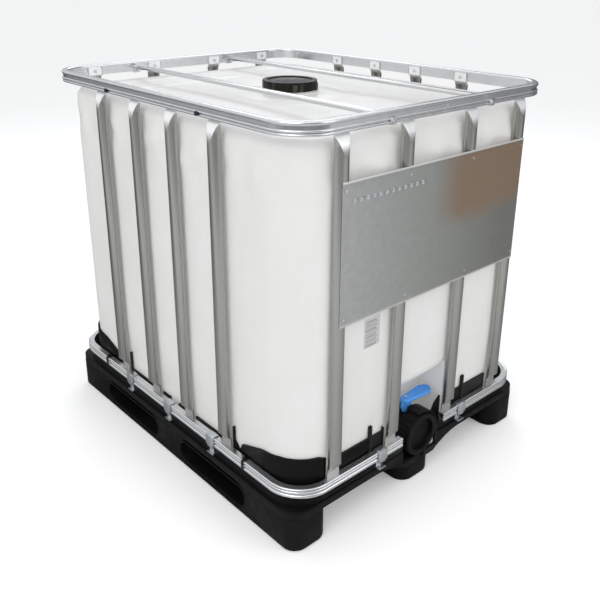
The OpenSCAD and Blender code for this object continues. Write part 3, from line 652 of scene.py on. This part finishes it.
# Moulded creases in the bottle's top, in metres: start, end, width and depth.
TOP_CREASES = [
    ((-0.303, 0.350), (0.061, 0.350), 9 * MM, 4 * MM),
    ((-0.303, -0.350), (-0.120, -0.350), 9 * MM, 2 * MM),
    ((0.109, -0.178), (0.276, -0.142), 8 * MM, 4 * MM),
    ((-0.163, -0.128), (-0.072, -0.140), 8 * MM, 4 * MM),
    ((-0.330, 0.120), (-0.330, 0.345), 10 * MM, 2 * MM),
    ((0.330, -0.330), (0.330, 0.300), 12 * MM, 2 * MM),
]


def top_relief(x, y):
    """Height of the bottle's top over its flat level: a low swell, a dip round the lid, and creases."""
    radius = math.hypot(x, y)
    away = float(smooth((radius - 0.1) / 0.06))
    to_side, to_end = HALF_X - SHOULDER - abs(x), HALF_Y - SHOULDER - abs(y)
    edge = float(smooth(to_side / 0.08) * smooth(to_end / 0.08))
    height = -TOP_SWELL * (1 + math.sin(9 * x + 1) * math.cos(7 * y)) * edge
    height -= COLLAR_DIP * math.exp(-((radius - 0.17) / 0.02) ** 2)
    for (x0, y0), (x1, y1), width, depth in TOP_CREASES:
        dx, dy = x1 - x0, y1 - y0
        t = min(1, max(0, ((x - x0) * dx + (y - y0) * dy) / (dx * dx + dy * dy)))
        gap = math.hypot(x - x0 - t * dx, y - y0 - t * dy)
        height -= depth * math.exp(-(gap / width) ** 2)
    return height * away * edge


def bottle_rows(step):
    """(height, inset) of each ring of the side wall, from the foot to the shoulder's end."""
    foot = [(FLOOR_Z + FOOT * (1 - math.cos(a)), FOOT * (1 - math.sin(a)))
            for a in np.linspace(0, math.pi / 2, 6)]
    straight = [(z, 0) for z in np.arange(FLOOR_Z + FOOT + step, TOP_Z - SHOULDER - step / 2, step)]
    shoulder = [(TOP_Z - SHOULDER + SHOULDER * math.sin(a), SHOULDER * (1 - math.cos(a)))
                for a in np.linspace(0, math.pi / 2, 12)]
    return foot + straight + shoulder


def make_bottle():
    """The blown shell: one skin of rings from the middle of its bottom to its mouth, then thickened."""
    stations = outline_stations(10 * MM)
    count = len(stations)
    rings = []
    for z, inset in bottle_rows(11 * MM):
        ring = []
        for s in stations:
            x, y, nx, ny = outline_point(s, inset)
            out = bulge(x, y, nx, ny, z)
            x, y = x + nx * out, y + ny * out
            if ny < -0.99:
                y += niche_depth(x, z)
            ring.append((x, y, z))
        rings.append(ring)
    top_edge = np.array(rings[-1])
    bottom_edge = np.array(rings[0])
    polar = np.arctan2(top_edge[:, 1], top_edge[:, 0])
    mouth = np.stack([FILL_R * np.cos(polar), FILL_R * np.sin(polar), np.full(count, TOP_Z)], axis=1)
    for t in np.linspace(0, 1, 44)[1:]:
        flat = top_edge * (1 - t) + mouth * t
        rings.append([(x, y, TOP_Z + top_relief(x, y)) for x, y, _ in flat])
    lower = []
    for t in (0.25, 0.5, 0.75, 0.97):
        lower.insert(0, [(x * (1 - t), y * (1 - t), FLOOR_Z) for x, y, _ in bottom_edge])
    rings = lower + rings
    points = [p for ring in rings for p in ring]
    faces = grid_faces(len(rings), count, round_columns=True)
    points.append((0, 0, FLOOR_Z))
    faces += [(len(points) - 1, (j + 1) % count, j) for j in range(count)]
    grid = np.array(points)
    from_outlet = np.hypot(grid[:, 0], grid[:, 2] - OUTLET_Z)
    in_hole = (np.abs(grid[:, 1] - NICHE_Y) < 2 * MM) & (from_outlet < STUB_R + 4 * MM)
    faces = [f for f in faces if not any(in_hole[i] for i in f)]
    bottle = add_piece("bottle_blown", points, faces, "bottle_plastic", 60, replaced=["bottle"])
    thicken(bottle, WALL)
    add_outlet_stub()


def thicken(piece, depth):
    """Gives a skin its wall, on its inner side."""
    shell = piece.modifiers.new("wall", "SOLIDIFY")
    shell.thickness = depth
    shell.offset = -1
    apply_modifiers(piece)


def lathe(profile, count, place):
    """Points and faces of a closed profile of (radius, height) turned round Z, then placed."""
    points = []
    for r, h in profile:
        for j in range(count):
            a = 2 * math.pi * j / count
            points.append(place @ Vector((r * math.cos(a), r * math.sin(a), h)))
    return points, grid_faces(len(profile), count, round_rows=True, round_columns=True)


def on_outlet(y):
    """Places a shape drawn along +Z onto the outlet axis, pointing out along -Y from station y."""
    return Matrix.Translation((0, y, OUTLET_Z)) @ Matrix.Rotation(math.radians(90), 4, "X")


def add_outlet_stub():
    """The flanged stub that closes the hole in the niche's wall."""
    length = NICHE_Y - STUB_END_Y
    flange = STUB_R + 16 * MM
    profile = [(STUB_BORE, -WALL), (flange - 2 * MM, -WALL), (flange, -1 * MM),
               (flange - 1 * MM, 1.5 * MM), (STUB_R + 3 * MM, 3 * MM), (STUB_R, 6 * MM),
               (STUB_R, length - 1 * MM), (STUB_R - 1 * MM, length), (STUB_BORE, length)]
    points, faces = lathe(profile, 72, on_outlet(NICHE_Y))
    add_piece("bottle_outlet_stub", points, faces, "bottle_plastic", 40)


# ---- posts ----

POST_R = 19.5 * MM
POST_WALL = 2.3 * MM
TAB_HALF = 25 * MM
RING_DEPTH = 20 * MM
RING_HALF = {name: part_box(name)[1] for name in ("bottom_ring", "top_ring")}


def post_section(v, z, low, high):
    """How far a post stands off its back plane at v = -1..1 across it.

    Each end goes from the channel at its second height to a flat tab at its first, as (tab, z, z).
    """
    x = POST_R * (1 - abs(v) ** 2.7) ** (1 / 2.1)
    for tab, z_tab, z_channel in (low, high):
        t = min(1, max(0, (z - z_channel) / (z_tab - z_channel)))
        x = min(x, tab + (POST_R - tab) * (1 - t ** 2.2) ** (1 / 1.6))
    return x


def make_post(node, side):
    """A pressed channel, drawn as if on the right side and turned to its own, with flattened ends."""
    low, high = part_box(node)
    turn = POST_SIDES[side]
    local = Matrix.Rotation(math.radians(-turn), 3, "Z")
    a, b = local @ low, local @ high
    back = max(a.x, b.x) - POST_R
    middle = (a.y + b.y) / 2
    axis = 0 if side in ("left", "right") else 1
    tabs = {ring: corner[axis] - RING_DEPTH - back for ring, corner in RING_HALF.items()}
    low_end = (tabs["bottom_ring"], low.z + 46 * MM, low.z + 72 * MM)
    high_end = (tabs["top_ring"], high.z - 28 * MM, high.z - 92 * MM)
    heights = sorted({low.z, high.z, *np.linspace(low.z + 2 * MM, low.z + 80 * MM, 30),
                      *np.linspace(low.z + 110 * MM, high.z - 130 * MM, 12),
                      *np.linspace(high.z - 100 * MM, high.z - 2 * MM, 60)})
    across = np.sin(np.linspace(-math.pi / 2, math.pi / 2, 37))
    outer, inner = [], []
    for z in heights:
        flare = (TAB_HALF / POST_R - 1) * float(smooth((z - high.z + 60 * MM) / (40 * MM)))
        flare += 0.1 * float(smooth((low.z + 66 * MM - z) / (40 * MM)))
        trim = 0.06 * max(0.0, (low.z + 10 * MM - z) / (10 * MM))
        trim += 0.1 * max(0.0, (z - high.z + 8 * MM) / (8 * MM))
        width = POST_R * (1 + flare - trim)
        for v in across:
            x = post_section(v, z, low_end, high_end)
            outer.append((x, v * width, z))
            inner.append((x - POST_WALL, v * (width - 0.6 * POST_WALL * (abs(v) > 0.999)), z))
    points = np.array(outer + inner) + np.array((back, middle, 0))
    place = Matrix.Rotation(math.radians(turn), 3, "Z")
    faces = slab_faces(len(heights), len(across))
    add_piece(f"{node}_pressed", [place @ Vector(p) for p in points], faces, "post_steel", 30,
              replaced=[node])


def make_posts():
    for side in POST_SIDES:
        for index in range(1, 5):
            make_post(f"post_{side}_{index}", side)


# ---- marking plate and label ----

def rounded_boxes(name, boxes, radius, slot, body="root", paint=None):
    """One piece of several boxes, each given by its lowest and highest corner, with rounded edges."""
    work = bmesh.new()
    for low, high in boxes:
        low, high = Vector(low), Vector(high)
        place = Matrix.Translation((low + high) / 2) @ Matrix.Diagonal((*(high - low), 1))
        bmesh.ops.create_cube(work, size=1, matrix=place)
    bmesh.ops.bevel(work, geom=work.edges[:], offset=radius, segments=2, affect="EDGES", profile=0.5)
    mesh = bpy.data.meshes.new(name)
    work.to_mesh(mesh)
    work.free()
    finish_piece(linked(name, mesh), slot, body, (), 40, paint)


def make_marking_plate():
    """A faintly dished sheet, hemmed along its top and bottom, with a row of embossed dashes."""
    low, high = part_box("marking_plate")
    front = low.y
    width, height = high.x - low.x, high.z - low.z
    hem, hem_depth, dish_depth, sheet = 7 * MM, 1.3 * MM, 0.4 * MM, 0.7 * MM
    us = np.linspace(0, 1, 73)
    rises = sorted({*np.linspace(0, hem / height, 6), *np.linspace(hem / height, 1 - hem / height, 30),
                    *np.linspace(1 - hem / height, 1, 6)})
    outer, inner = [], []
    for v in rises:
        for u in us:
            x, z = low.x + u * width, low.z + v * height
            edge = min(v, 1 - v) * height
            back_by = hem_depth
            if edge < hem:
                back_by -= hem_depth * math.sin(math.pi * min(1, edge / hem))
            inside = min(1, 6 * u, 6 * (1 - u), 6 * v, 6 * (1 - v))
            waves = math.sin(7.1 * x + 2.3) * math.sin(9 * z) + 0.5 * math.sin(17 * x + 11 * z)
            face = max(front, front + back_by + dish_depth * inside * waves)
            outer.append((x, face, z))
            inner.append((x, face + sheet, z))
    add_piece("marking_plate_sheet", outer + inner, slab_faces(len(rises), len(us)), "plate_steel", 50,
              replaced=["marking_plate"])
    dashes = []
    for index in range(12):
        x, top = low.x + (36 + 22 * index) * MM, high.z - 44 * MM
        dashes.append(((x, front + 0.1 * MM, top - 11 * MM), (x + 15 * MM, front + 2.6 * MM, top)))
    # Painted highlight: the embossed dashes take the lighter clip steel so they read brighter than the
    # sheet.
    rounded_boxes("plate_dashes", dashes, 1.0 * MM, "plate_steel", paint="clip_steel")


def wall_front(x, z):
    """Y of the bottle's front wall."""
    return -HALF_Y - bulge(x, -HALF_Y, 0, -1, z)


def on_wall(name, patches, proud, replaced=(), paint=None):
    """One piece of thin patches laid on the bottle's front wall, each given as x0, x1, z0, z1."""
    points, faces = [], []
    columns = 12
    for x0, x1, z0, z1 in patches:
        rows = max(2, int((z1 - z0) / (6 * MM)) + 2)
        faces += slab_faces(rows, columns, len(points))
        for layer in (proud, 0.02 * MM):
            for z in np.linspace(z0, z1, rows):
                for x in np.linspace(x0, x1, columns):
                    points.append((x, wall_front(x, z) - layer, z))
    add_piece(name, points, faces, "label_paper", 60, replaced=replaced, paint=paint)


def make_label():
    """The printed label: plain bars of a few widths, the thin ones longer."""
    low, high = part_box("barcode_label")
    bottom, margin = low.z + 14 * MM, 8 * MM
    on_wall("label_film", [(low.x, high.x, bottom, high.z)], 0.5 * MM, ["barcode_label"])
    bars = []
    z = high.z - margin
    for thick in (5, 2, 3, 2, 6, 2, 3, 5, 2, 4, 2, 6, 3, 2):
        reach = 46 if thick > 2 else 54
        bars.append((low.x + 5 * MM, low.x + reach * MM, z - thick * MM, z))
        z -= (thick + 2.8) * MM
        if z < bottom + margin:
            break
    on_wall("label_bars", bars, 0.7 * MM, paint="label_ink")


# ---- pallet trim ----

def window_outline():
    """Points round the rear left fork window's edge, each as y, z and the y and z of its outward way."""
    y0, y1, z0, z1, corner = 65 * MM, 383 * MM, 24 * MM, 88 * MM, 30 * MM
    around = corner + 1 * MM
    path = []
    for cy, cz, start in ((y1 - corner, z1 - corner, 0), (y0 + corner, z1 - corner, 90),
                          (y0 + corner, z0 + corner, 180), (y1 - corner, z0 + corner, 270)):
        for angle in np.linspace(start, start + 90, 10):
            c, s = math.cos(math.radians(angle)), math.sin(math.radians(angle))
            path.append((cy + around * c, cz + around * s, c, s))
    return path


def make_window_rims():
    """A thin raised lip round each fork window of the outer runners."""
    path, sides = window_outline(), 8
    for side, sx in (("left", -1), ("right", 1)):
        low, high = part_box(f"runner_{side}")
        face = abs(low.x if sx < 0 else high.x)
        for end, sy in (("front", -1), ("rear", 1)):
            points = []
            for y, z, ny, nz in path:
                for k in range(sides):
                    b = 2 * math.pi * k / sides
                    out, proud = 1.6 * MM * math.cos(b), 1.4 * MM * math.sin(b)
                    points.append((sx * (face - 0.2 * MM + proud), sy * (y + ny * out), z + nz * out))
            faces = grid_faces(len(path), sides, round_rows=True, round_columns=True)
            add_piece(f"window_rim_{side}_{end}", points, faces, "pallet_plastic", 60)


# ---- valve lever ----

def make_lever():
    """A dished paddle on a hub with three short ears."""
    low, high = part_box("valve_lever")
    hub_y = (low.y + high.y) / 2
    base, top = high.z - 14 * MM, high.z
    tip = high.x - 1 * MM
    end_r, near_r = 23 * MM, 17 * MM
    widen_from, grip_from, sides = 12 * MM, 22 * MM, 28
    stations = list(-near_r * np.cos(np.linspace(0, math.pi / 2, 9)))
    stations += list(np.linspace(0, tip - end_r, 22)[1:])
    stations += list(tip - end_r + end_r * np.sin(np.linspace(0, math.pi / 2, 12))[1:])
    stations[0] += 0.3 * MM
    stations[-1] -= 0.3 * MM
    points = []
    for x in stations:
        if x < 0:
            half = math.sqrt(near_r ** 2 - x ** 2)
        else:
            wider = float(smooth((x - widen_from) / (tip - end_r - widen_from)))
            spread = near_r + (end_r - near_r) * wider
            over = max(0.0, x - (tip - end_r))
            half = spread * math.sqrt(max(1e-6, 1 - (over / end_r) ** 2))
        grip = float(smooth((x - grip_from) / (12 * MM)) * smooth((tip - 5 * MM - x) / (7 * MM)))
        arch = 1.6 * MM * math.sin(math.pi * min(1, max(0, x / tip)))
        for k in range(sides):
            a = 2 * math.pi * k / sides
            c, n = math.cos(a), math.sin(a)
            across = half * math.copysign(abs(c) ** 0.55, c)
            lift = (top - base) / 2 * math.copysign(abs(n) ** 0.5, n)
            dish = 2.6 * MM * grip * float(smooth((half * 0.82 - abs(across)) / (3 * MM))) * (n > 0)
            points.append((x, hub_y + across, (base + top) / 2 + lift * 0.9 - dish - arch * 0.35))
    rows = len(stations)
    faces = grid_faces(rows, sides, round_columns=True)
    faces += [tuple(range(sides)), tuple((rows - 1) * sides + k for k in range(sides))]
    add_piece("lever_paddle", points, faces, "lever_plastic", 45, "valve_rotor", ["valve_lever"])
    profile = [(5.1, 198.6), (10.8, 198.6), (12, 199.6), (12, 205.5), (13.6, 207), (13.6, 212),
               (12.4, 213.5), (12.4, 222), (14.5, 228), (14.5, 232.5), (5.1, 232.5)]
    points, faces = lathe([(r * MM, z * MM) for r, z in profile], 48, Matrix.Translation((0, hub_y, 0)))
    add_piece("lever_hub", points, faces, "lever_plastic", 35, "valve_rotor")
    ear_top = 233 * MM
    ears = [((9 * MM, y - 2.5 * MM, 206 * MM), (15 * MM, y + 2.5 * MM, ear_top))
            for y in (hub_y - 9 * MM, hub_y + 9 * MM)]
    ears.append(((-16 * MM, hub_y - 5 * MM, 210 * MM), (-10 * MM, hub_y + 5 * MM, ear_top)))
    rounded_boxes("lever_ears", ears, 1.2 * MM, "lever_plastic", "valve_rotor")


# ---- build ----

# CAD nodes that only need rounder edges, with the width of the rounding in mm.
ROUNDED = {
    "pallet_deck": 1.5, "runner_left": 3, "runner_centre": 3, "runner_right": 3,
    "outlet_cap": 1.2, "fill_cap": 1.2, "valve_body": 0.8, "valve_union_nut": 0.8,
    "cross_bar_left": 1.5, "cross_bar_right": 1.5, "bar_clamps": 0.5, "bar_nuts": 0.5,
    "side_bolts": 0.6, "bar_bolts": 0.5, "lever_screw": 0.5, "fill_neck": 0.8,
}
CLIPS = {"left": 3, "right": 3, "front": 2, "rear": 2}
ROUNDED.update({f"clip_{side}_{i}": 0.6 for side, count in CLIPS.items() for i in range(1, count + 1)})

make_camera()
make_floor()
make_light()
PAINTS = make_paints()
for node, thing in NODES.items():
    thing.data.materials.clear()
    thing.data.materials.append(PAINTS[SLOT_OF[node]])
make_bottle()
make_posts()
make_marking_plate()
make_label()
make_window_rims()
make_lever()
for node, width in ROUNDED.items():
    rounded_copy(node, width * MM)
